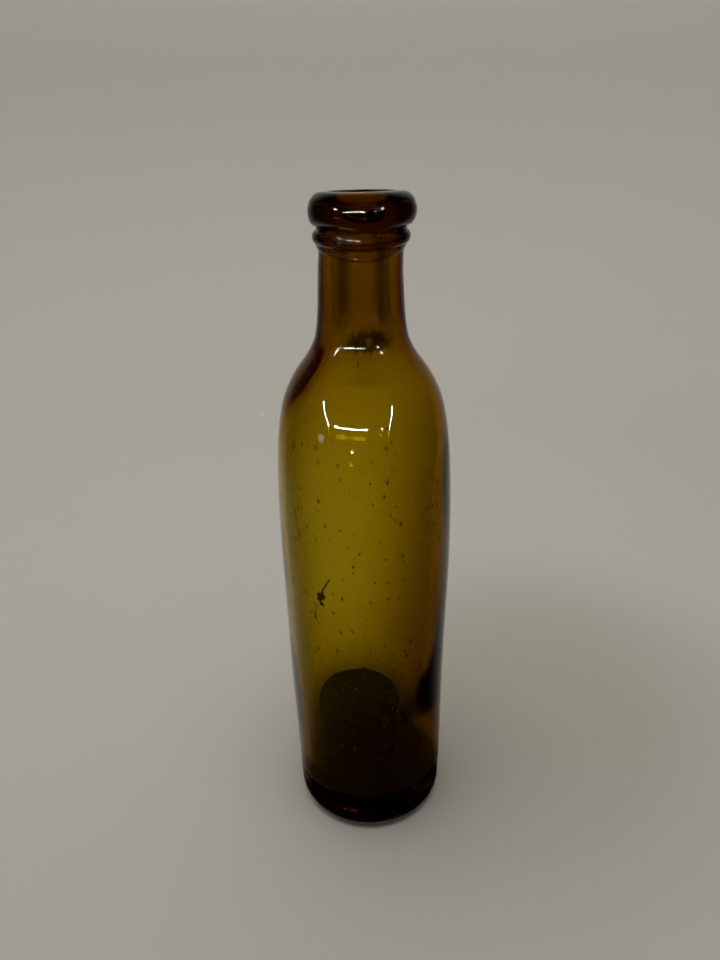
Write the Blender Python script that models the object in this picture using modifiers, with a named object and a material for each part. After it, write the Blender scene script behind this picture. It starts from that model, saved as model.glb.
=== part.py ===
"""Small mouth-blown glass bottle with a deep kick-up in its base and a two-ring applied finish.

Three pieces of glass, each a turned solid on the Z axis, standing on z = 0:
  blown_body   the hollow blown vessel: base with kick-up, body, shoulder and neck, open at the top
  lip_ring     the thick upper ring laid over the end of the neck, which holds the mouth
  string_ring  the thinner lower ring with a short skirt that runs down onto the neck
All lengths are in metres.
"""

import math

import bpy

# Driving dimensions
HEIGHT = 0.2140
BODY_RADIUS = 0.02785
LIP_RADIUS = 0.0150
STRING_RADIUS = 0.0137
BORE_RADIUS = 0.0071
NECK_END_RADIUS = 0.0118
NECK_END_Z = 0.2108
RINGS_MEET_Z = 0.2047
SKIRT_END_Z = 0.1980
SKIRT_RADIUS = 0.0125
LIP_BEAD = (0.0040, 0.0049)
STRING_BEAD = (0.0018, 0.0026)
MOUTH_ROUNDING = 0.0009
WALL = 0.0024
GAP = 0.0003

# Base: the flat ring that the bottle rests on, the rounded heel outside it and the kick-up inside it
REST_INNER_RADIUS = 0.0190
REST_OUTER_RADIUS = 0.0222
HEEL_RADIUS = 0.0263
HEEL_HEIGHT = 0.0046
KICKUP_HEIGHT = 0.0400
KICKUP_GLASS = 0.0050

# Steps round the axis, and points on the round stretches of a profile
TURN_STEPS = 40
HEEL_POINTS = 6
MOUTH_POINTS = 5
LIP_POINTS = 14
STRING_POINTS = 9

# Glass colours as red, green, blue and opacity: thin walls look olive, the thick rings deep amber
OLIVE_AMBER = (0.20, 0.13, 0.01, 0.50)
DEEP_AMBER = (0.09, 0.04, 0.01, 0.60)
GLASS_ROUGHNESS = 0.06


def catmull_rom(a, b, c, d, t):
    """The point a share t of the way from b to c, on a smooth curve through a, b, c and d."""
    return tuple(
        0.5 * (2 * q + (r - p) * t + (2 * p - 5 * q + 4 * r - s) * t**2 + (3 * q - p - 3 * r + s) * t**3)
        for p, q, r, s in zip(a, b, c, d)
    )


def smooth_through(stations, steps=2):
    """A smooth curve through the stations, in that many steps from each one to the next."""
    padded = [stations[0], *stations, stations[-1]]
    points = [
        catmull_rom(*padded[i : i + 4], step / steps)
        for i in range(len(stations) - 1)
        for step in range(steps)
    ]
    return [*points, stations[-1]]


def arc(centre, radii, start, end, count):
    """Points on an ellipse in the profile's plane, from one angle to another in degrees."""
    return [
        (
            centre[0] + radii[0] * math.cos(math.radians(start + (end - start) * i / (count - 1))),
            centre[1] + radii[1] * math.sin(math.radians(start + (end - start) * i / (count - 1))),
        )
        for i in range(count)
    ]


def outer_wall():
    """The outside from the end of the neck down to the top of the heel, as (radius, height)."""
    return smooth_through(
        [
            (NECK_END_RADIUS, NECK_END_Z),
            (NECK_END_RADIUS, 0.1985),
            (0.01235, 0.1880),
            (0.0128, 0.1810),
            (0.0139, 0.1742),
            (0.0166, 0.1690),
            (0.0197, 0.1648),
            (0.0229, 0.1590),
            (0.0250, 0.1524),
            (0.0266, 0.1418),
            (0.0275, 0.1270),
            (BODY_RADIUS, 0.1040),
            (0.0274, 0.0740),
            (0.0270, 0.0440),
            (0.0266, 0.0200),
            (HEEL_RADIUS, HEEL_HEIGHT),
        ]
    )


def inner_wall():
    """The inside from the trough round the kick-up up to the bore in the neck, as (radius, height)."""
    return smooth_through(
        [
            (0.0207, 0.0080),
            (0.0228, 0.0112),
            (0.0238, 0.0200),
            (0.0244, 0.0440),
            (0.0249, 0.0740),
            (BODY_RADIUS - WALL, 0.1040),
            (0.0250, 0.1270),
            (0.0239, 0.1418),
            (0.0219, 0.1520),
            (0.0196, 0.1580),
            (0.0162, 0.1630),
            (0.0126, 0.1674),
            (0.0096, 0.1724),
            (0.0080, 0.1780),
            (BORE_RADIUS, 0.1860),
            (BORE_RADIUS, NECK_END_Z),
        ]
    )


def kickup_top():
    """The kick-up as seen from inside the bottle, from its tip out to the trough."""
    top = KICKUP_HEIGHT
    return smooth_through(
        [
            (0.0, top),
            (0.0085, top - 0.0007),
            (0.0130, top - 0.0030),
            (0.0150, top - 0.0080),
            (0.0160, top - 0.0170),
            (0.0174, 0.0130),
            (0.0188, 0.0089),
            (0.0207, 0.0080),
        ]
    )


def kickup_underside():
    """The hollow under the base, from its edge on the resting ring up to its tip."""
    top = KICKUP_HEIGHT - KICKUP_GLASS
    return smooth_through(
        [
            (REST_INNER_RADIUS, 0.0),
            (0.0170, 0.0026),
            (0.0144, 0.0100),
            (0.0122, 0.0200),
            (0.0105, top - 0.0050),
            (0.0066, top - 0.0010),
            (0.0, top),
        ]
    )


def body_profile():
    """One line from the kick-up's tip, up the inside, over the neck's end, down the outside and under."""
    heel_width = HEEL_RADIUS - REST_OUTER_RADIUS
    heel = arc((REST_OUTER_RADIUS, HEEL_HEIGHT), (heel_width, HEEL_HEIGHT), 0, -90, HEEL_POINTS)
    inside = kickup_top() + inner_wall()[1:]
    outside = outer_wall() + heel[1:]
    return inside + outside + kickup_underside()


def lip_profile():
    """The upper ring: a fat bead whose flat top is the sealing face, hollowed to sit over the neck's end."""
    bead_centre = (LIP_RADIUS - LIP_BEAD[0], HEIGHT - LIP_BEAD[1])
    seat_radius = NECK_END_RADIUS + GAP
    seat_z = NECK_END_Z + GAP
    foot_z = RINGS_MEET_Z + GAP / 2
    mouth_centre = (BORE_RADIUS + MOUTH_ROUNDING, HEIGHT - MOUTH_ROUNDING)
    mouth_edge = arc(mouth_centre, (MOUTH_ROUNDING, MOUTH_ROUNDING), 180, 90, MOUTH_POINTS)
    outside = arc(bead_centre, LIP_BEAD, 90, -55, LIP_POINTS)
    foot = [(0.0131, foot_z), (seat_radius, foot_z)]
    seat = [(seat_radius, seat_z), (BORE_RADIUS, seat_z)]
    return mouth_edge + outside + foot + seat


def string_profile():
    """The lower ring: a small bead that thins downwards into a skirt on the neck."""
    bead_centre = (STRING_RADIUS - STRING_BEAD[0], RINGS_MEET_Z - 0.0024)
    seat_radius = NECK_END_RADIUS + GAP
    top_z = RINGS_MEET_Z - GAP / 2
    top = [(seat_radius, top_z), (0.0129, top_z)]
    outside = arc(bead_centre, STRING_BEAD, 50, -55, STRING_POINTS)
    skirt = [(SKIRT_RADIUS, SKIRT_END_Z), (seat_radius, SKIRT_END_Z)]
    return top + outside + skirt


def glass(name, colour):
    """A glass material that shows in a plain viewport as its tint and opacity."""
    material = bpy.data.materials.new(name)
    material.use_nodes = True
    shader = material.node_tree.nodes["Principled BSDF"]
    shader.inputs["Base Color"].default_value = (*colour[:3], 1.0)
    shader.inputs["Roughness"].default_value = GLASS_ROUGHNESS
    shader.inputs["Metallic"].default_value = 0.0
    shader.inputs["Alpha"].default_value = colour[3]
    return material


def turned(name, profile, closed, material, collection):
    """A solid of revolution about Z from a profile of (radius, height) points."""
    mesh = bpy.data.meshes.new(name)
    edges = [(i, i + 1) for i in range(len(profile) - 1)]
    if closed:
        edges.append((len(profile) - 1, 0))
    mesh.from_pydata([(radius, 0.0, height) for radius, height in profile], edges, [])
    mesh.materials.append(material)
    piece = bpy.data.objects.new(name, mesh)
    collection.objects.link(piece)
    screw = piece.modifiers.new("Turn", "SCREW")
    screw.axis = "Z"
    screw.angle = math.tau
    screw.steps = TURN_STEPS
    screw.render_steps = TURN_STEPS
    screw.use_merge_vertices = True
    screw.merge_threshold = 0.00001
    screw.use_smooth_shade = True
    return piece


def clear_scene():
    """An empty scene to model in."""
    for thing in list(bpy.data.objects):
        bpy.data.objects.remove(thing, do_unlink=True)


def main():
    clear_scene()
    bottle = bpy.data.collections.new("glass_bottle")
    bpy.context.scene.collection.children.link(bottle)
    olive = glass("olive_amber_glass", OLIVE_AMBER)
    upper = glass("lip_glass", DEEP_AMBER)
    lower = glass("string_glass", DEEP_AMBER)
    pieces = [
        turned("blown_body", body_profile(), False, olive, bottle),
        turned("lip_ring", lip_profile(), True, upper, bottle),
        turned("string_ring", string_profile(), True, lower, bottle),
    ]
    stand = bpy.data.objects.new("bottle_axis", None)
    bottle.objects.link(stand)
    for piece in pieces:
        piece.parent = stand


main()
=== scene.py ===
"""Looks of the mouth-blown olive-amber bottle: fine glass meshes, materials, light and camera.

Each CAD node's outline is read from the frame, refined, and turned again at high resolution with the
unevenness of hand-blown glass: a wandering wall, an off-centre kick-up, a leaning neck, a drooping skirt
under the lower ring, seeds in the glass, and a little old residue, with painted shade on the kick-up, down
the sides, at the foot of the neck and in the groove between the rings. Lengths are in metres, except where a
comment says mm, and the camera looks along +Y.
"""

import math
import random

import bmesh
import bpy
from mathutils import Matrix, Vector, noise


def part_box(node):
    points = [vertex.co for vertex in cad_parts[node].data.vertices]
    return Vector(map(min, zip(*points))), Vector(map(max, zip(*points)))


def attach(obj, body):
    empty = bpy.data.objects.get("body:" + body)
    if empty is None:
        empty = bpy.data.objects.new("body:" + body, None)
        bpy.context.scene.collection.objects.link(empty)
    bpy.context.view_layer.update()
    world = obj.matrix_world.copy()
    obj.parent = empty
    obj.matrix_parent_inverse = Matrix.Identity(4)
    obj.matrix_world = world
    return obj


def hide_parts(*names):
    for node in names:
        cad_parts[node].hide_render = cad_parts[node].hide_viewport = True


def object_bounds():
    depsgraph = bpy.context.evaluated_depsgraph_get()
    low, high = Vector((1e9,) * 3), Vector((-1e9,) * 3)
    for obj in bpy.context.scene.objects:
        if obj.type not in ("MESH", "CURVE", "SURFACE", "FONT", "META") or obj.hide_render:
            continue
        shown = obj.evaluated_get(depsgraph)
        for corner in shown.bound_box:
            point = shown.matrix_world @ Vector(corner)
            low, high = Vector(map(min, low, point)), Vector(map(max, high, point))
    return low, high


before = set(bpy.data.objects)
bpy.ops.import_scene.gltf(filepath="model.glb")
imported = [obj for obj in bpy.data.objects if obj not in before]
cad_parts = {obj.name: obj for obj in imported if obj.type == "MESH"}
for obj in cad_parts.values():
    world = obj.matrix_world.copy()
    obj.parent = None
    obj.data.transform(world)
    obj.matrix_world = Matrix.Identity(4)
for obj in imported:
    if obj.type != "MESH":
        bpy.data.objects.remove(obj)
CAD_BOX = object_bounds()

MM = 0.001
SEED = 1874
ON_AXIS = 1e-6
SAME_PLACE = 0.01 * MM

# Directions about Z, as angles from +X
RIGHT, FRONT, LEFT = 0.0, math.radians(-90), math.pi

# Fineness of the turned glass
TURNS = 224
WALL_STEP = 0.8 * MM
RING_STEP = 0.28 * MM
CORNER = math.radians(85)
SHARP = math.radians(50)

# Where the fused joints between the three pieces run
FUSED_GAP = 0.03 * MM
JOINT_RADIUS = 12.2 * MM
SKIRT_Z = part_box("string_ring")[0].z
RINGS_MEET_Z = (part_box("string_ring")[1].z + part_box("lip_ring")[0].z) / 2

# Smooth noises, each as its scale round the bottle, its scale along the height and its seed
OUTER_WAVES, OUTER_RIPPLE = (0.9, 0.012, 1.0), (3.2, 0.02, 2.0)
SKIRT_WAVES, FOOT_WAVES, SEAM_WAVES = (1.3, 0, 4.0), (1.4, 0, 6.0), (1.1, 0, 9.0)
INNER_WAVES, INNER_RIPPLE = (0.8, 0.016, 11.0), (2.6, 0.03, 12.0)
KICKUP_WAVES, KICKUP_RIPPLE, KICKUP_DENTS = (1.2, 0.05, 21.0), (3.5, 0.12, 22.0), (1.5, 0.2, 23.0)
BEAD_WAVES, BEAD_RIPPLE = (1.2, 0.03, 31.0), (3.5, 0.08, 32.0)
TIDE_WAVES, RAGGED_WAVES = (1.5, 0, 41.0), (7, 0, 43.0)

# Stretches of height in mm, each as where it starts, where it is full, where it starts to end, and its end
THICK_SIDE = (12, 45, 115, 170)
THICK_FOOT = (8, 22, 22, 75)
THICK_FRONT = (8, 20, 30, 80)
UNEVEN_BORE = (172, 184, 206, 210.8)
BORE_STREAKS = (173, 184, 199, 204)
# Where the painted shade runs down both sides of the body
SIDE_SHADE = (20, 60, 140, 168)
SHOULDER_PATCH = (163, 164, 170, 173)

# How far the axis of the glass wanders towards +X, as heights and distances in mm
LEAN = [(0, 0.28), (12, 0.28), (58, -0.2), (100, 0.0), (158, -0.25), (192, -0.3), (202, 0.07), (209, 0.4)]

# The applied finish: its slant and the line it slants about, and the skirt's thin edge and rolled front
FINISH_FROM = 180 * MM
FINISH_SLANT = 0.03
SLANT_Y = -11 * MM
BORE_REACH = 12.0 * MM
SKIRT_THINNING = 0.42 * MM
SKIRT_ROLL = 0.28 * MM
MOUTH_WEAR, MOUTH_WEAR_RADIUS, MOUTH_WEAR_REACH = 1.4 * MM, 11 * MM, 3 * MM

# Where the inner wall begins outside the kick-up, where the shoulder begins, and clear above the kick-up
INNER_WALL_RADIUS = 18 * MM
SHOULDER_FROM = 150 * MM
ABOVE_KICKUP = 45 * MM

# Uneven places in the walls and in the kick-up
NECK_DENT, NECK_DENT_Z = 0.75 * MM, 171.5 * MM
FOOT_LIFT = 0.12 * MM
THICK_SHOULDER_Z = 163 * MM
BORE_WIDER, BORE_NARROWER = 0.03, 0.19
KICKUP_DENT = 0.35 * MM

# Glass: what a millimetre of it takes out of red, green and blue light
ABSORPTION_PER_MM = (0.125, 0.200, 1.00)
BODY_DEEPNESS, RING_DEEPNESS = 1.0, 2.6
GLASS_IOR = 1.52
FUSED_IOR = 1.0
BODY_RELIEF, RING_RELIEF = 0.25, 0.10
WHITE = (1, 1, 1, 1)

# Residue and painted shade: where the glass is stained or shaded more than FILM, it is covered and hardly
# bends light
FILM, FILM_IOR = 0.8, 1.08
RESIDUE_AND_SHADE_COLOUR = (0.0010, 0.0004, 0.0002, 1)
KICKUP_X = -1.8 * MM
# Painted shade on the rings starts at this radius
CREASE_SHADE_FROM = 12.35 * MM

# Bubbles and loose residue: counts, and heights and radii
BODY_SEEDS = (460, 26 * MM, 152 * MM)
NECK_SEEDS = (8, 158 * MM, 190 * MM)
CRUST_GRAINS = 70
CRUST_X = -2 * MM
CRUST_HEIGHTS = (38.4 * MM, 41.0 * MM)
CRUST_RADII = (9 * MM, 15.5 * MM)
PATCH_FLAKES = 40
PATCH_DEGREES, PATCH_HEIGHT = -122.6, 98.4
FLAKE_THICKNESS = 0.09 * MM


def smoothstep(low, high, value):
    """From 0 up to 1 as a value goes from low to high, level at both ends."""
    t = min(max((value - low) / (high - low), 0.0), 1.0)
    return t * t * (3 - 2 * t)


def rise(low, high, place):
    """From 0 up to 1 between two places in mm. The place itself is in metres."""
    return smoothstep(low * MM, high * MM, place)


def fall(low, high, place):
    """From 1 down to 0 between two places in mm."""
    return 1 - rise(low, high, place)


def within(stretch, place):
    """1 inside one of the stretches of height and 0 outside it."""
    start, full, thinning, end = stretch
    return rise(start, full, place) * fall(thinning, end, place)


def hump(away, width):
    """1 at no distance, falling smoothly to nothing past about two widths."""
    return math.exp(-((away / width) ** 2))


def facing(side, width, angle):
    """A hump round the bottle, highest on one side. The side, the width and the angle are in radians."""
    return hump((angle - side + math.pi) % math.tau - math.pi, width)


def between(stations, value):
    """Smooth values between stations of (place, value)."""
    for (a, low), (b, high) in zip(stations, stations[1:]):
        if value <= b:
            return low + (high - low) * smoothstep(a, b, value)
    return stations[-1][1]


def wander(angle, z, scales):
    """Smooth noise from about -1 to 1 that closes on itself round the bottle."""
    round_scale, height_scale, seed = scales
    place = (math.cos(angle) * round_scale, math.sin(angle) * round_scale, z / MM * height_scale)
    return noise.noise(Vector(place) + Vector((seed, 0, seed)))


def swell(angle, z, scales):
    """The same noise from about 0 to 1."""
    return 0.5 + 0.5 * wander(angle, z, scales)


# ---------------------------------------------------------------- outlines from the frame

def cad_outline(node):
    """The node's outline in the half-plane y = 0, x > 0, as points (radius, height) in order along it."""
    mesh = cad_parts[node].data
    in_plane = {
        v.index: (round(v.co.x, 6), round(v.co.z, 6))
        for v in mesh.vertices
        if abs(v.co.y) < ON_AXIS and v.co.x > -ON_AXIS
    }
    beside = {}
    for edge in mesh.edges:
        a, b = (in_plane.get(i) for i in edge.vertices)
        if a and b and a != b:
            beside.setdefault(a, set()).add(b)
            beside.setdefault(b, set()).add(a)
    on_axis = [p for p in beside if p[0] < ON_AXIS]
    path = [max(on_axis or beside, key=lambda p: p[1])]
    while True:
        onward = [p for p in sorted(beside[path[-1]]) if p not in path]
        if not onward:
            return path
        path.append(onward[0])


BODY_PATH = cad_outline("blown_body")
KICKUP_TOP_Z = BODY_PATH[0][1]
NECK_TOP_Z = max(z for r, z in BODY_PATH)
NECK_RADIUS = max(r for r, z in BODY_PATH if z == NECK_TOP_Z)


def corners_of(path):
    """The numbers of the points where the path turns sharply, taking it as a loop."""
    found = []
    for i, here in enumerate(path):
        before, after = path[i - 1], path[(i + 1) % len(path)]
        back = math.atan2(here[1] - before[1], here[0] - before[0])
        ahead = math.atan2(after[1] - here[1], after[0] - here[0])
        turn = (ahead - back + math.pi) % math.tau - math.pi
        if abs(turn) > CORNER and here[0] > ON_AXIS:
            found.append(i)
    return found


def catmull_rom(a, b, c, d, t):
    """The point a share t of the way from b to c, on a smooth curve through a, b, c and d."""
    return tuple(
        0.5 * (2 * q + (r - p) * t + (2 * p - 5 * q + 4 * r - s) * t**2 + (3 * q - p - 3 * r + s) * t**3)
        for p, q, r, s in zip(a, b, c, d)
    )


def refined(stretch, step):
    """A smooth curve through one stretch between corners, with points about a step apart, without its end."""
    padded = [stretch[0], *stretch, stretch[-1]]
    points = []
    for i in range(len(stretch) - 1):
        pieces = max(1, math.ceil(math.dist(stretch[i], stretch[i + 1]) / step))
        points += [catmull_rom(*padded[i : i + 4], j / pieces) for j in range(pieces)]
    return points


def fine_outline(path, step):
    """The path with its corners kept and made smooth between them. A loop starts at its first corner."""
    corners = corners_of(path)
    if path[0][0] > ON_AXIS:
        first = corners[0]
        path = path[first:] + path[: first + 1]
        ends = [c - first for c in corners] + [len(path) - 1]
    else:
        ends = [0, *corners, len(path) - 1]
    points = []
    for first, last in zip(ends, ends[1:]):
        points += refined(path[first : last + 1], step)
    if path[0][0] <= ON_AXIS:
        points.append(path[-1])
    low, high = min(z for r, z in path), max(z for r, z in path)
    return [(r, min(max(z, low), high)) for r, z in points]


def body_walls():
    """The body's CAD outline from the trough up the inside, and down its outside."""
    first, last = corners_of(BODY_PATH)
    inner = [(r, z) for r, z in BODY_PATH[: first + 1] if r > INNER_WALL_RADIUS or z > SHOULDER_FROM]
    return inner, BODY_PATH[last:]


def radius_at(path, z):
    """The radius of a stretch of outline at a height."""
    for (r1, z1), (r2, z2) in zip(path, path[1:]):
        if min(z1, z2) <= z <= max(z1, z2) and z1 != z2:
            return r1 + (r2 - r1) * (z - z1) / (z2 - z1)
    return path[-1][0]


def nearest(outline, place):
    """The number of the outline's point nearest to a place."""
    return min(range(len(outline)), key=lambda i: math.dist(outline[i], place))


# ---------------------------------------------------------------- how the glass wanders

def lean(z):
    """How far the axis of the glass has wandered towards +X at a height."""
    return between(LEAN, z / MM) * MM


def droop(angle):
    """How far the skirt's lower edge hangs below its place in the CAD: low in front, high at the sides."""
    sag = 1.0 * facing(FRONT, 0.9, angle) - 1.2 * (1 - facing(FRONT, 1.1, angle))
    return (sag + 0.35 * wander(angle, 0, SKIRT_WAVES)) * MM


def skirt_shift(angle, z):
    """The droop, fading out above and below the skirt's edge."""
    return -droop(angle) * hump(z - SKIRT_Z, 2.6 * MM)


def seam_wave(angle, z):
    """How the groove between the rings rises and falls."""
    fold = 0.8 * facing(FRONT + 0.15, 0.45, angle)
    return (0.5 * wander(angle, 0, SEAM_WAVES) - fold) * MM * hump(z - RINGS_MEET_Z, 2.2 * MM)


def tilt(y, z):
    """How far the applied finish dips towards its back, as if it was laid on at a slant."""
    return -FINISH_SLANT * (y - SLANT_Y) * rise(196, 206, z)


def finish_shift(r, z, angle):
    """How far a point of the applied finish, or of the neck inside it, is moved up or down."""
    return skirt_shift(angle, z) + seam_wave(angle, z) + tilt(r * math.sin(angle), z)


def outside_point(r, z, angle):
    """A point of the body's outer face."""
    unevenness = 0.16 * swell(angle, z, OUTER_WAVES) + 0.05 * swell(angle, z, OUTER_RIPPLE)
    r -= fall(186, 197, z) * unevenness * MM
    r -= NECK_DENT * facing(FRONT, 0.8, angle) * hump(z - NECK_DENT_Z, 5 * MM)
    if z > FINISH_FROM:
        z += finish_shift(r, z, angle)
    lift = FOOT_LIFT * swell(angle, 0, FOOT_WAVES) * fall(0, 2, z)
    return Vector((r * math.cos(angle) + lean(z), r * math.sin(angle), z + lift))


def extra_wall(z, angle):
    """How much thicker the wall is than in the CAD, in mm: one side, the foot and the shoulder's left."""
    side = -0.6 + 1.2 * (1 + math.cos(angle)) + 0.35 * math.cos(2 * angle)
    foot = 1.3 * within(THICK_FOOT, z) + 1.6 * facing(FRONT, 1.0, angle) * within(THICK_FRONT, z)
    shoulder = 1.7 * facing(LEFT, 0.6, angle) * hump(z - THICK_SHOULDER_Z, 10 * MM)
    return side * within(THICK_SIDE, z) + foot + shoulder


def inside_point(r, z, angle):
    """A point of the body's inner face above the trough round the kick-up."""
    below_finish, off_axis = fall(196, 206, z), rise(2, 12, r)
    wave = 0.34 * wander(angle, z, INNER_WAVES) + 0.10 * wander(angle, z, INNER_RIPPLE)
    r -= below_finish * (wave + extra_wall(z, angle)) * MM * off_axis
    squeeze = within(UNEVEN_BORE, z)
    x = r * math.cos(angle) * (1 + BORE_WIDER * squeeze)
    y = r * math.sin(angle) * (1 - BORE_NARROWER * squeeze)
    return Vector((x + lean(z), y, z + tilt(y, z)))


def kickup_shift(r, z):
    """How far the kick-up sits off the axis towards -X: most at its top, none at its foot."""
    return -(1.4 + 0.8 * rise(12, 36, z)) * MM * fall(17, 20.5, r)


def kickup_point(r, z, angle):
    """A point of the kick-up, seen from inside the bottle or from below."""
    z += 0.65 * (KICKUP_TOP_Z - z) * rise(30, 37, z)
    uneven = rise(0, 6, r) * rise(0.5, 6, z)
    rough = 0.30 * wander(angle, z, KICKUP_WAVES) + 0.10 * wander(angle, z, KICKUP_RIPPLE)
    r *= 1 + 0.13 * rise(22, 35, z) * rise(6, 12, r)
    r += rough * uneven * MM
    z += KICKUP_DENT * wander(angle, r * 30, KICKUP_DENTS) * uneven * rise(20, 34, z)
    return Vector((r * math.cos(angle) + kickup_shift(r, z) + lean(z), r * math.sin(angle), z))


def ring_point(r, z, angle):
    """A point of either ring. The bores stay parallel to the neck under them."""
    if r > BORE_REACH:
        r -= SKIRT_THINNING * (1 - 0.5 * facing(FRONT, 0.9, angle)) * hump(z - SKIRT_Z, 1.3 * MM)
        r += SKIRT_ROLL * facing(FRONT, 1.0, angle) * hump(z - SKIRT_Z - 0.55 * MM, 0.45 * MM)
    crease = 0.75 * hump(z - RINGS_MEET_Z, 0.6 * MM)
    r = min(r, JOINT_RADIUS) + max(r - JOINT_RADIUS, 0.0) * (1 - crease)
    z += finish_shift(r, z, angle)
    wave = 0.10 + 0.12 * wander(angle, z, BEAD_WAVES) + 0.03 * wander(angle, z, BEAD_RIPPLE)
    r -= rise(12.2, 13.4, r) * wave * MM
    return Vector((r * math.cos(angle) + lean(z), r * math.sin(angle), min(z, CAD_BOX[1].z)))


def mouth_flare(r, z):
    """How far the worn edge of the mouth is rounded back."""
    inwards = min(max((MOUTH_WEAR_RADIUS - r) / MOUTH_WEAR_REACH, 0.0), 1.0)
    return MOUTH_WEAR * rise(211, 214, z) ** 2 * inwards


# ---------------------------------------------------------------- how stained the glass is, and where shade is painted on it

def low_film_and_shade(place, z, angle):
    """The near-black film on the kick-up and in the trough round it, up to a tide line, worn here and there:
    partly old residue, partly painted shade for the dark of the thick base over its shaded hollow.
    """
    tide = (15 + 3 * wander(angle, 0, TIDE_WAVES) + 3 * facing(RIGHT, 0.9, angle)) * MM
    out = math.hypot(place.x - KICKUP_X, place.y)
    on_kickup = fall(19, 21, out) if z < ABOVE_KICKUP else 0.0
    under_tide = 1 - smoothstep(tide - 3 * MM, tide + 2 * MM, z)
    lees = 0.80 * fall(14, 54, z) * (1 - 0.5 * facing(FRONT, 1.2, angle))
    worn = smoothstep(0.1, 0.5, noise.noise(place * 170 + Vector((3, 8, 5))))
    thin = 0.06 * worn + 0.45 * worn * facing(RIGHT - 0.5, 0.7, angle) * rise(12, 16, out)
    return max(on_kickup, under_tide, lees) * (1 - thin) * 0.99


def neck_shade(place, z, angle):
    """Painted shade: the dark band at the foot of the neck, where the neck meets the thick glass of the
    shoulder, along a ragged line.
    """
    ragged = (174.8 + 1.2 * wander(angle, 0, RAGGED_WAVES)) * MM
    mark = 0.79 * min(2.0 * facing(FRONT + 0.2, 0.6, angle) * hump(z - ragged, 2.5 * MM), 1.0)
    return mark * smoothstep(-1.3, -0.1, noise.noise(place * 350))


def stains_and_side_shade(z, angle):
    """The brown streaks in the bore and the patch on the shoulder, and painted shade down both sides, where
    the long way through the thick glass darkens it.
    """
    streaks = 0.55 * (facing(FRONT - 0.75, 0.26, angle) + facing(FRONT + 0.75, 0.26, angle))
    streaks += 0.40 * (facing(RIGHT, 0.30, angle) + facing(LEFT, 0.30, angle))
    # Painted shade down the left and right sides of the body
    sides = 0.26 * facing(RIGHT, 0.95, angle) + 0.34 * facing(LEFT, 0.7, angle)
    sides *= within(SIDE_SHADE, z)
    patch = 0.16 * facing(FRONT, 0.5, angle) * within(SHOULDER_PATCH, z)
    return max(streaks * within(BORE_STREAKS, z), sides, patch)


def residue(place, z):
    """How thick the old dried residue lies at a point of the inside, with the painted shade on the kick-up,
    down the sides and at the neck's foot, from 0 to 1.
    """
    angle = math.atan2(place.y, place.x)
    return max(low_film_and_shade(place, z, angle), stains_and_side_shade(z, angle), neck_shade(place, z, angle))


def crease_shade(place, r, z):
    """Painted shade on a ring: a dark line in the groove between the rings and a fainter one on the skirt's
    edge.
    """
    if r < CREASE_SHADE_FROM:
        return 0.0
    in_groove = 0.78 * hump(z - RINGS_MEET_Z, 0.55 * MM)
    on_skirt = 0.5 * hump(z - SKIRT_Z - 0.1 * MM, 0.35 * MM)
    return (in_groove + on_skirt) * smoothstep(-0.7, -0.1, noise.noise(place * 400))


# ---------------------------------------------------------------- meshes

def new_mesh(name, vertices, faces):
    """A mesh of these points and faces."""
    mesh = bpy.data.meshes.new(name)
    mesh.from_pydata(vertices, [], faces)
    return mesh


def new_object(name, data):
    """An object in the scene with some data."""
    made = bpy.data.objects.new(name, data)
    bpy.context.scene.collection.objects.link(made)
    return made


def bubble_template():
    """The corners and faces of a round bubble of radius 1."""
    shape = bmesh.new()
    bmesh.ops.create_icosphere(shape, subdivisions=2, radius=1.0)
    corners = [v.co.copy() for v in shape.verts]
    faces = [tuple(v.index for v in f.verts) for f in shape.faces]
    shape.free()
    return corners, faces


BUBBLE_CORNERS, BUBBLE_FACES = bubble_template()


def circle(point, r, z):
    """One row of a turned mesh. A row on the axis is a single point, a pole."""
    if r <= ON_AXIS:
        return [point(0.0, z, 0.0)]
    return [point(r, z, math.tau * i / TURNS) for i in range(TURNS)]


def band_faces(row, a, next_row, b):
    """The faces between two rows whose points are numbered from a and from b."""
    faces = []
    for i in range(TURNS):
        j = (i + 1) % TURNS
        if len(row) == 1:
            faces.append((a, b + j, b + i))
        elif len(next_row) == 1:
            faces.append((a + i, a + j, b))
        else:
            faces.append((a + i, a + j, b + j, b + i))
    return faces


def runs_inward(rows):
    """Whether the rows run round their outline so that their faces point into the glass."""
    corners = [row[0] for row in rows]
    return sum(a.x * b.z - b.x * a.z for a, b in zip(corners, corners[1:] + corners[:1])) < 0


def turned(name, rows, loop, fused, stains_and_shade, seeds=()):
    """A closed piece of glass, made of rows of points round the axis and the bands of faces between them.

    fused holds the numbers of the bands that are fused to another piece, stains_and_shade how stained or
    shaded each row's points are, from 0 to 1, and seeds the (place, radii) of the bubbles in the glass.
    """
    vertices, starts = [], []
    for row in rows:
        starts.append(len(vertices))
        vertices += row
    faces, hidden = [], []
    inward = runs_inward(rows)
    for k in range(len(rows) if loop else len(rows) - 1):
        n = (k + 1) % len(rows)
        band = band_faces(rows[k], starts[k], rows[n], starts[n])
        faces += [face[::-1] if inward else face for face in band]
        hidden += [k in fused] * len(band)
    stain_and_shade = [value for row in stains_and_shade for value in row]
    for place, radii in seeds:
        first = len(vertices)
        vertices += [place + Vector(a * b for a, b in zip(corner, radii)) for corner in BUBBLE_CORNERS]
        faces += [tuple(first + i for i in face[::-1]) for face in BUBBLE_FACES]
        hidden += [False] * len(BUBBLE_FACES)
        stain_and_shade += [0.0] * len(BUBBLE_CORNERS)
    return glass_object(name, vertices, faces, hidden, stain_and_shade)


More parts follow.
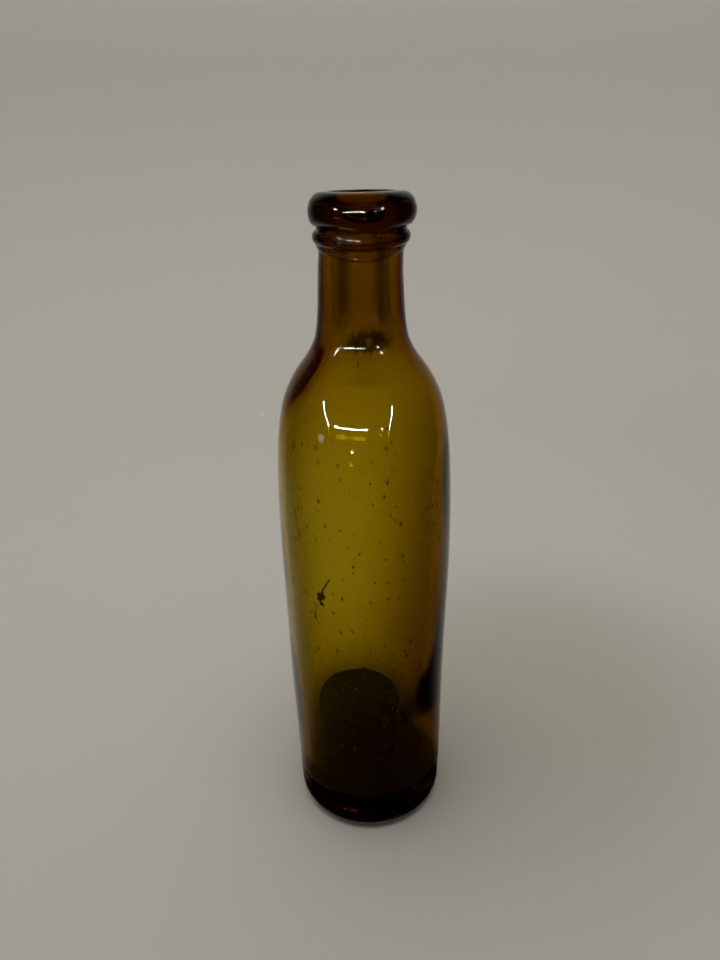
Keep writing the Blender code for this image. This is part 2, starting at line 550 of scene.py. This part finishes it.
def glass_object(name, vertices, faces, hidden, stain_and_shade):
    """A smooth object whose faces carry their refractive index, and its points their staining and painted
    shade.
    """
    mesh = new_mesh(name, vertices, faces)
    mesh.shade_smooth()
    mesh.set_sharp_from_angle(angle=SHARP)
    filmed = [stain_and_shade[face[0]] > FILM for face in faces]
    indices = [FUSED_IOR if h else FILM_IOR if f else GLASS_IOR for h, f in zip(hidden, filmed)]
    mesh.attributes.new("index_of_refraction", "FLOAT", "FACE").data.foreach_set("value", indices)
    mesh.attributes.new("stain_and_shade", "FLOAT", "POINT").data.foreach_set("value", stain_and_shade)
    return new_object(name, mesh)


def lumps(name, places):
    """A mesh of small rough lumps in the bubble's shape, each a (place, radii, turn about Z)."""
    vertices, faces = [], []
    for place, radii, turn in places:
        first = len(vertices)
        spin = Matrix.Rotation(turn, 3, "Z")
        for corner in BUBBLE_CORNERS:
            rough = 1 + 0.35 * noise.noise(corner * 1.7 + place * 4000)
            vertices.append(place + spin @ Vector([a * b * rough for a, b in zip(corner, radii)]))
        faces += [tuple(first + i for i in face) for face in BUBBLE_FACES]
    mesh = new_mesh(name, vertices, faces)
    mesh.shade_smooth()
    return new_object(name, mesh)


# ---------------------------------------------------------------- the blown body and what is in it

def body_rows():
    """The rows of the body's mesh, how stained or shaded their points are, and the numbers of the bands that
    the rings cover.
    """
    outline = fine_outline(BODY_PATH, WALL_STEP)
    last_inside, first_outside = (nearest(outline, BODY_PATH[c]) for c in corners_of(BODY_PATH))
    standing = min(i for i, (r, z) in enumerate(outline) if i > first_outside and z <= SAME_PLACE)
    trough = min(range(last_inside), key=lambda i: outline[i][1])
    edge = min(range(first_outside, standing), key=lambda i: abs(outline[i][1] - SKIRT_Z))
    outline[edge] = (outline[edge][0], SKIRT_Z)
    rows, stains_and_shade = [], []
    for i, (r, z) in enumerate(outline):
        if i < trough or i > standing + 2:
            point = kickup_point
        elif i <= last_inside:
            point = inside_point
        else:
            point = outside_point
        rows.append(circle(point, r, z))
        stains_and_shade.append([residue(place, z) if i <= last_inside else 0.0 for place in rows[-1]])
    return rows, stains_and_shade, set(range(last_inside, edge))


def uneven_size(draw, smallest, spread):
    """A random size from the smallest to that plus the spread, both in mm, and more often small."""
    return (smallest + spread * draw.random() ** 2) * MM


def seeds_in_body(count, low, high, draw):
    """Bubbles in the body's wall between two heights, drawn out a little along the bottle."""
    inner, outer = body_walls()
    made = []
    for _ in range(count):
        z, angle, depth = draw.uniform(low, high), draw.uniform(0, math.tau), draw.uniform(0.3, 0.7)
        outside = outside_point(radius_at(outer, z), z, angle)
        inside = inside_point(radius_at(inner, z), z, angle)
        size = uneven_size(draw, 0.13, 0.34)
        made.append((outside.lerp(inside, depth), (size, size, size * draw.uniform(1.0, 2.6))))
    return made


def on_crust_rim(place):
    """Whether a place lies on the upper edge of the kick-up."""
    out = math.hypot(place.x - CRUST_X, place.y)
    return CRUST_HEIGHTS[0] < place.z < CRUST_HEIGHTS[1] and CRUST_RADII[0] < out < CRUST_RADII[1]


def crust(rows, draw):
    """Dried grains round the upper edge of the kick-up."""
    rim = [place for row in rows for place in row if on_crust_rim(place)]
    grains = []
    for _ in range(CRUST_GRAINS):
        size = uneven_size(draw, 0.16, 0.42)
        place = draw.choice(rim) + Vector((0, 0, size * 0.4))
        grains.append((place, (size, size * 1.3, size * 0.8), draw.uniform(0, 3)))
    return lumps("residue_crust", grains)


def flake_marks(draw):
    """The scraps on the wall, as degrees, height and size in mm: a patch, its two tails and a streak."""
    marks = []
    for _ in range(PATCH_FLAKES):
        degrees = PATCH_DEGREES + draw.uniform(-2.2, 2.2) + draw.uniform(-1.6, 1.6)
        height = PATCH_HEIGHT + draw.uniform(-1.7, 1.7) + draw.uniform(-1.2, 1.2)
        marks.append((degrees, height, draw.uniform(0.22, 0.50)))
    tail_above = [(-121 + 0.7 * i, 101.6 + 0.55 * i, 0.28) for i in range(9)]
    tail_below = [(-125.5 - 0.12 * i * (9 - i), 95.5 - 0.75 * i, 0.22) for i in range(10)]
    streak = [(-139 - 0.5 * i, 118 + 0.9 * i, 0.24) for i in range(11)]
    return marks + tail_above + tail_below + streak


def flakes(draw):
    """Scraps of old residue on the inside of the wall."""
    inner, _ = body_walls()
    scraps = []
    for degrees, height, size in flake_marks(draw):
        angle = math.radians(degrees)
        z = height * MM
        outwards = Vector((math.cos(angle), math.sin(angle), 0))
        place = inside_point(radius_at(inner, z), z, angle) - outwards * 0.10 * MM
        scraps.append((place, (FLAKE_THICKNESS, size * MM, size * 1.3 * MM), angle))
    return lumps("residue_flakes", scraps)


def blown_body():
    """The body with its bubbles, and the two pieces of loose residue in it."""
    draw = random.Random(SEED)
    rows, stains_and_shade, covered = body_rows()
    seeds = seeds_in_body(*BODY_SEEDS, draw) + seeds_in_body(*NECK_SEEDS, draw)
    scraps = [crust(rows, draw), flakes(draw)]
    return turned("blown_glass_body", rows, False, covered, stains_and_shade, seeds), scraps


# ---------------------------------------------------------------- the applied rings

def drawn_in(node):
    """A ring's CAD outline, its bore moved in to the neck and its flat faces to their neighbours."""
    low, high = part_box(node)
    path = cad_outline(node)
    bore = min(r for r, z in path if r > NECK_RADIUS)
    if node == "lip_ring":
        seat = min(z for r, z in path if z > NECK_TOP_Z)
        flats = {low.z: RINGS_MEET_Z + FUSED_GAP, seat: NECK_TOP_Z + FUSED_GAP}
    else:
        flats = {high.z: RINGS_MEET_Z - FUSED_GAP}
    moved = []
    for r, z in path:
        if abs(r - bore) < SAME_PLACE:
            r = NECK_RADIUS + FUSED_GAP
        z = next((new for old, new in flats.items() if abs(z - old) < SAME_PLACE), z)
        moved.append((r, z))
    return moved


def fused_bands(outline):
    """The numbers of the bands of a ring's faces that touch the neck or the other ring."""
    bands = set()
    for k, ends in enumerate(zip(outline, outline[1:] + outline[:1])):
        on_neck = all(
            r <= NECK_RADIUS + 2 * FUSED_GAP and z <= NECK_TOP_Z + 2 * FUSED_GAP for r, z in ends
        )
        on_ring = all(abs(z - RINGS_MEET_Z) < 2 * FUSED_GAP for r, z in ends)
        if on_neck or on_ring:
            bands.add(k)
    return bands


def ring(name, node):
    """One of the applied rings."""
    outline = fine_outline(drawn_in(node), RING_STEP)
    covered = fused_bands(outline)
    if node == "lip_ring":
        outline = [(r + mouth_flare(r, z), z) for r, z in outline]
    rows = [circle(ring_point, r, z) for r, z in outline]
    stains_and_shade = [[crease_shade(place, r, z) for place in row] for row, (r, z) in zip(rows, outline)]
    return turned(name, rows, True, covered, stains_and_shade)


# ---------------------------------------------------------------- materials

def new_material(name):
    """A material with a Principled BSDF in its node tree."""
    material = bpy.data.materials.new(name)
    material.use_nodes = True
    return material


def feed(material, node, inputs):
    """Links each input of a node to a socket, or sets it to a value."""
    for key, value in inputs.items():
        if isinstance(value, bpy.types.NodeSocket):
            material.node_tree.links.new(value, node.inputs[key])
        else:
            node.inputs[key].default_value = value


def add_node(material, kind, inputs, **settings):
    """A shader node of a kind, with its settings and its inputs."""
    node = material.node_tree.nodes.new(f"ShaderNode{kind}")
    for setting, value in settings.items():
        setattr(node, setting, value)
    feed(material, node, inputs)
    return node


def maths(material, operation, *values):
    """The result of a maths node."""
    return add_node(material, "Math", dict(enumerate(values)), operation=operation).outputs[0]


def ramp(material, value, start, end, low, high, curve="LINEAR"):
    """A value that goes from low to high as another goes from start to end."""
    inputs = {"Value": value, "From Min": start, "From Max": end, "To Min": low, "To Max": high}
    return add_node(material, "MapRange", inputs, interpolation_type=curve).outputs["Result"]


def mixed(material, share, colour, other):
    """A colour that goes over into another as a share goes from 0 to 1."""
    inputs = {"A": colour, "B": other, "Factor": share}
    return add_node(material, "Mix", inputs, data_type="RGBA").outputs["Result"]


def noise_texture(material, inputs):
    """The strength of a noise, about 0.5 on average."""
    return add_node(material, "TexNoise", inputs).outputs["Fac"]


def residue_and_shade_tint(material, stain_and_shade):
    """White where the glass is clean, going fast to near black as the residue and painted shade grow."""
    clean = maths(material, "POWER", maths(material, "SUBTRACT", 1.0, stain_and_shade), 3.0)
    return mixed(material, clean, RESIDUE_AND_SHADE_COLOUR, WHITE)


def dullness(material, stain_and_shade, place):
    """A roughness of faint cloudy haze, with more where the residue and painted shade cover the glass as a
    film.
    """
    clouds = noise_texture(material, {"Scale": 500, "Detail": 6, "Vector": place})
    haze = ramp(material, clouds, 0.52, 0.80, 0.0, 0.018)
    film = ramp(material, stain_and_shade, 0.6, 1.0, 0.0, 0.6)
    return maths(material, "ADD", film, haze)


def pitting(material, place, strength):
    """A normal with very shallow pits and ripples."""
    pits = noise_texture(material, {"Scale": 800, "Detail": 2, "Vector": place})
    inputs = {"Strength": strength, "Distance": 0.05 * MM, "Height": pits}
    return add_node(material, "Bump", inputs).outputs["Normal"]


def glass_material(name, deepness, relief):
    """Olive-amber glass: clear, faintly hazed and pitted, with its colour in its depth, near black under
    residue and painted shade.
    """
    material = new_material(name)
    nodes = material.node_tree.nodes
    shader = nodes["Principled BSDF"]
    # What a viewer that can't follow the links below falls back on
    feed(material, shader, {"Base Color": WHITE, "Transmission Weight": 1.0, "Roughness": 0.0})
    stain_and_shade = add_node(material, "Attribute", {}, attribute_name="stain_and_shade").outputs["Fac"]
    index = add_node(material, "Attribute", {}, attribute_name="index_of_refraction").outputs["Fac"]
    place = add_node(material, "TexCoord", {}).outputs["Object"]
    feed(material, shader, {
        "Base Color": residue_and_shade_tint(material, stain_and_shade),
        "Roughness": dullness(material, stain_and_shade, place),
        "Normal": pitting(material, place, relief),
        "IOR": index,
    })
    left_per_mm = (*(1 - share for share in ABSORPTION_PER_MM), 1)
    depth = add_node(material, "VolumeAbsorption", {"Density": 1000 * deepness, "Color": left_per_mm})
    feed(material, nodes["Material Output"], {"Volume": depth.outputs["Volume"]})
    return material


def residue_material():
    """Dried dark-brown residue, mottled and dull."""
    material = new_material("dried_residue")
    mottle = noise_texture(material, {"Scale": 900})
    tones = add_node(material, "ValToRGB", {"Fac": mottle})
    tones.color_ramp.elements[0].color = (0.012, 0.006, 0.003, 1)
    tones.color_ramp.elements[1].color = (0.10, 0.055, 0.022, 1)
    shader = material.node_tree.nodes["Principled BSDF"]
    feed(material, shader, {"Base Color": tones.outputs["Color"], "Roughness": 0.8})
    return material


# ---------------------------------------------------------------- stage

# The sweep's outline, and how finely it is made
SWEEP_FLAT, SWEEP_COVE, SWEEP_TOP = 0.42, 0.30, 1.6
FLOOR_STEPS, COVE_STEPS, SWEEP_SIDES = 10, 12, 120

# Painted shadow: the surface is darker round a place to the right of the bottle and goes over into the paler
# tone
PAINTED_SHADOW_CENTRE, PAINTED_SHADOW_START, PAINTED_SHADOW_END = (0.075, 0.045, 0), 0.03, 0.14
PAINTED_SHADOW_TONE, PALE_TONE = (0.42, 0.392, 0.335, 1), (0.515, 0.496, 0.450, 1)

# The scrim: how black it gets, and over which angles from the back it closes near the bottle
SCRIM_BLACK = 0.985
SCRIM_RIGHT, SCRIM_LEFT = (30, 95), (50, 112)
# How many degrees sooner it closes far from the bottle, and over which distances that grows
SOONER_RIGHT, SOONER_LEFT = 24, 42
SCRIM_NEAR, SCRIM_FAR = 0.05, 0.60
SCRIM_INSET, SCRIM_OPENING = 0.0003, 0.0268


def sweep_material():
    """The matt pale surface, with a painted shadow a little darker to the right of the bottle."""
    material = new_material("pale_sweep")
    place = add_node(material, "NewGeometry", {}).outputs["Position"]
    distance = add_node(material, "VectorMath", {0: place, 1: PAINTED_SHADOW_CENTRE}, operation="DISTANCE")
    share = ramp(material, distance.outputs["Value"], PAINTED_SHADOW_START, PAINTED_SHADOW_END, 0.0, 1.0, "SMOOTHSTEP")
    tone = mixed(material, share, PAINTED_SHADOW_TONE, PALE_TONE)
    shader = material.node_tree.nodes["Principled BSDF"]
    feed(material, shader, {"Base Color": tone, "Roughness": 0.9, "Specular IOR Level": 0.2})
    return material


def scrim_side(material, angle, far, sooner, closing):
    """How closed the scrim is on one side, where angle is measured from the back towards that side."""
    shift = ramp(material, far, SCRIM_NEAR, SCRIM_FAR, 0.0, math.radians(sooner))
    start, end = (math.radians(degrees) for degrees in closing)
    return ramp(material, maths(material, "ADD", shift, angle), start, end, 0.0, SCRIM_BLACK, "SMOOTHSTEP")


def scrim_material():
    """A black scrim, clear behind the bottle and closing towards the front, and sooner on the right."""
    material = new_material("black_scrim")
    nodes = material.node_tree.nodes
    nodes.remove(nodes["Principled BSDF"])
    place = add_node(material, "NewGeometry", {}).outputs["Position"]
    split = add_node(material, "SeparateXYZ", {0: place}).outputs
    far = add_node(material, "VectorMath", {0: place}, operation="LENGTH").outputs["Value"]
    to_right = maths(material, "ARCTAN2", split["X"], split["Y"])
    to_left = maths(material, "MULTIPLY", to_right, -1.0)
    right = scrim_side(material, to_right, far, SOONER_RIGHT, SCRIM_RIGHT)
    left = scrim_side(material, to_left, far, SOONER_LEFT, SCRIM_LEFT)
    closed = maths(material, "MAXIMUM", right, left)
    clear = add_node(material, "BsdfTransparent", {}).outputs[0]
    black = add_node(material, "BsdfDiffuse", {"Color": (0, 0, 0, 1)}).outputs[0]
    cloth = add_node(material, "MixShader", {"Fac": closed, 1: clear, 2: black}).outputs[0]
    feed(material, nodes["Material Output"], {"Surface": cloth})
    return material


def sweep_profile(inset, opening):
    """The sweep's outline as (radius, height): a flat floor, a cove and an upright wall."""
    bend = SWEEP_COVE - inset
    profile = [(opening + (SWEEP_FLAT - opening) * k / FLOOR_STEPS, inset) for k in range(FLOOR_STEPS + 1)]
    for i in range(1, COVE_STEPS + 1):
        turn = math.pi / 2 * i / COVE_STEPS
        profile.append((SWEEP_FLAT + bend * math.sin(turn), SWEEP_COVE - bend * math.cos(turn)))
    return [*profile, (SWEEP_FLAT + bend, SWEEP_TOP)]


def sweep(name, material, inset=0.0, opening=0.0):
    """A round studio sweep, drawn in by an inset, with an opening in its floor."""
    profile = sweep_profile(inset, opening)
    n = len(profile)
    vertices, faces = [], []
    for i in range(SWEEP_SIDES):
        a = math.tau * i / SWEEP_SIDES
        j = (i + 1) % SWEEP_SIDES
        vertices += [(r * math.cos(a), r * math.sin(a), z) for r, z in profile]
        faces += [(i * n + k, j * n + k, j * n + k + 1, i * n + k + 1) for k in range(n - 1)]
    mesh = new_mesh(name, vertices, faces)
    mesh.validate()
    mesh.shade_smooth()
    mesh.materials.append(material)
    sheet = new_object(name, mesh)
    return sheet


def build_stage():
    """The sweep, and just inside it the scrim, which only reflections see."""
    sweep("sweep", sweep_material())
    scrim = sweep("scrim", scrim_material(), SCRIM_INSET, SCRIM_OPENING)
    scrim.visible_camera = False
    scrim.visible_diffuse = False
    scrim.visible_transmission = False
    scrim.visible_volume_scatter = False
    scrim.visible_shadow = False


# ---------------------------------------------------------------- lights and camera

# The thin lamps stand round a place at the height of the shoulder
LAMP_CENTRE = Vector((0, 0, 0.160))
LAMP_REACH = 0.60
LAMP_STEPS = 8
LAMP_WIDTH, LAMP_STRENGTH = 0.012, 80
WARM_WHITE = (1.0, 0.97, 0.92)
CARD_AMBER = (1.0, 0.92, 0.70)

# The camera stands 0.2 m in front of the bottle, a little higher than its mouth. Its angles are in degrees.
CAMERA_PLACE = (-0.0015, -0.2073, 0.2271)
LOOKING_DOWN, ROLL = 25.57, -1.06
SENSOR_MM, LENS_MM = 36, 27.04


def direction(azimuth, elevation):
    """A unit vector: azimuth in degrees from -Y towards +X, elevation above the horizon."""
    a, e = math.radians(azimuth), math.radians(elevation)
    return Vector((math.sin(a) * math.cos(e), -math.cos(a) * math.cos(e), math.sin(e)))


def glow_material(name, strength, colour):
    """A plain light source, which isn't sampled as a lamp."""
    material = new_material(name)
    nodes = material.node_tree.nodes
    nodes.remove(nodes["Principled BSDF"])
    glow = add_node(material, "Emission", {"Strength": strength, "Color": (*colour, 1)}).outputs[0]
    feed(material, nodes["Material Output"], {"Surface": glow})
    material.cycles.emission_sampling = "NONE"
    return material


def strip(path, width, reach):
    """The corners and faces of a strip along a path of (azimuth, elevation), at a reach from LAMP_CENTRE."""
    fine = []
    for (a1, e1), (a2, e2) in zip(path, path[1:]):
        shares = [t / LAMP_STEPS for t in range(LAMP_STEPS)]
        fine += [(a1 + (a2 - a1) * share, e1 + (e2 - e1) * share) for share in shares]
    fine.append(path[-1])
    vertices = []
    for k, (a, e) in enumerate(fine):
        here = direction(a, e)
        ahead = direction(*fine[min(k + 1, len(fine) - 1)]) - direction(*fine[max(k - 1, 0)])
        across = here.cross(ahead).normalized() * width / 2
        vertices += [LAMP_CENTRE + here * reach - across, LAMP_CENTRE + here * reach + across]
    return vertices, [(n, n + 1, n + 3, n + 2) for n in range(0, len(vertices) - 2, 2)]


def strip_lamp(name, path, width=LAMP_WIDTH, strength=LAMP_STRENGTH, colour=WARM_WHITE, reach=LAMP_REACH):
    """A thin lamp that shows only in the glass, along a path of (azimuth, elevation) in degrees."""
    mesh = new_mesh(name, *strip(path, width, reach))
    mesh.materials.append(glow_material(name, strength, colour))
    lamp = new_object(name, mesh)
    lamp.visible_camera = False
    lamp.visible_diffuse = False
    lamp.visible_shadow = False
    return lamp


def area_light(name, place, target, size, watts, colour):
    """A round soft lamp, which isn't seen in reflections."""
    data = bpy.data.lights.new(name, "AREA")
    data.shape = "DISK"
    data.size = size
    data.energy = watts
    data.color = colour
    lamp = new_object(name, data)
    lamp.location = place
    lamp.rotation_euler = (Vector(target) - Vector(place)).to_track_quat("-Z", "Y").to_euler()
    lamp.visible_camera = False
    lamp.visible_glossy = False


def build_sky():
    """Even light from all round, left out of the reflections."""
    world = bpy.data.worlds.new("soft_room")
    bpy.context.scene.world = world
    world.use_nodes = True
    sky = world.node_tree.nodes["Background"]
    sky.inputs["Color"].default_value = (0.97, 0.98, 1.0, 1)
    sky.inputs["Strength"].default_value = 0.80
    world.cycles_visibility.glossy = False


def build_lights():
    """The soft lamps over the stage, and the thin ones that make the highlights on the shoulder and lip."""
    build_sky()
    area_light("key", (-0.28, 0.16, 0.85), (0, 0, 0.05), size=1.2, watts=2.6, colour=(1.0, 0.98, 0.94))
    area_light("wash", (0.0, -0.10, 1.10), (0, 0.75, 0.70), size=0.7, watts=3.9, colour=(0.93, 0.95, 1.0))
    strip_lamp("bar_left", [(-63.4, 27.4), (-46.6, 7.6)])
    strip_lamp("bar_bottom", [(-39, 8.5), (5, 8.0)])
    strip_lamp("bar_dot", [(23.5, 8.0), (25.5, 8.0)], width=0.014)
    pane = strip_lamp("pane", [(-57.3, -4.7), (-49.5, -4.7)], width=0.013, strength=2.4, reach=0.172)
    pane.visible_transmission = False
    strip_lamp("card", [(-16.5, -6.0), (-12.5, -6.0)], strength=40, colour=CARD_AMBER)
    strip_lamp("bar_right", [(34.3, 6.1), (45.1, 27.1)])


def build_camera():
    """The camera, looking along +Y and down at the bottle."""
    data = bpy.data.cameras.new("camera")
    data.sensor_width = SENSOR_MM
    data.lens = LENS_MM
    data.clip_start = 0.01
    data.clip_end = 20
    camera = new_object("camera", data)
    camera.location = CAMERA_PLACE
    pitch, roll = math.radians(90 - LOOKING_DOWN), math.radians(ROLL)
    camera.rotation_euler = (Matrix.Rotation(pitch, 3, "X") @ Matrix.Rotation(roll, 3, "Z")).to_euler()
    bpy.context.scene.camera = camera


def set_rendering():
    """Enough bounces to see through four walls of glass, and no caustics, which keeps the base dark."""
    scene = bpy.context.scene
    scene.view_settings.view_transform = "Standard"
    cycles = scene.cycles
    cycles.max_bounces = 24
    cycles.transmission_bounces = 24
    cycles.glossy_bounces = 8
    cycles.diffuse_bounces = 3
    cycles.transparent_max_bounces = 16
    cycles.sample_clamp_indirect = 4.0
    cycles.blur_glossy = 0.5
    cycles.caustics_refractive = False
    cycles.caustics_reflective = False


# ---------------------------------------------------------------- the bottle

def finish_piece(piece, material, node=None):
    """Gives a piece its material and body, and hides the CAD node it stands for, if it does."""
    piece.data.materials.append(material)
    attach(piece, "root")
    if node:
        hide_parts(node)


def build_bottle():
    """The three pieces of glass, and the loose residue inside the body."""
    body, scraps = blown_body()
    dry = residue_material()
    for scrap in scraps:
        finish_piece(scrap, dry)
    lip = ring("glass_lip_ring", "lip_ring")
    string = ring("glass_string_ring", "string_ring")
    body_glass = glass_material("olive_amber_body", BODY_DEEPNESS, BODY_RELIEF)
    lip_glass = glass_material("olive_amber_lip", RING_DEEPNESS, RING_RELIEF)
    string_glass = glass_material("olive_amber_string", RING_DEEPNESS, RING_RELIEF)
    finish_piece(body, body_glass, "blown_body")
    finish_piece(lip, lip_glass, "lip_ring")
    finish_piece(string, string_glass, "string_ring")


build_camera()
build_stage()
build_lights()
set_rendering()
build_bottle()
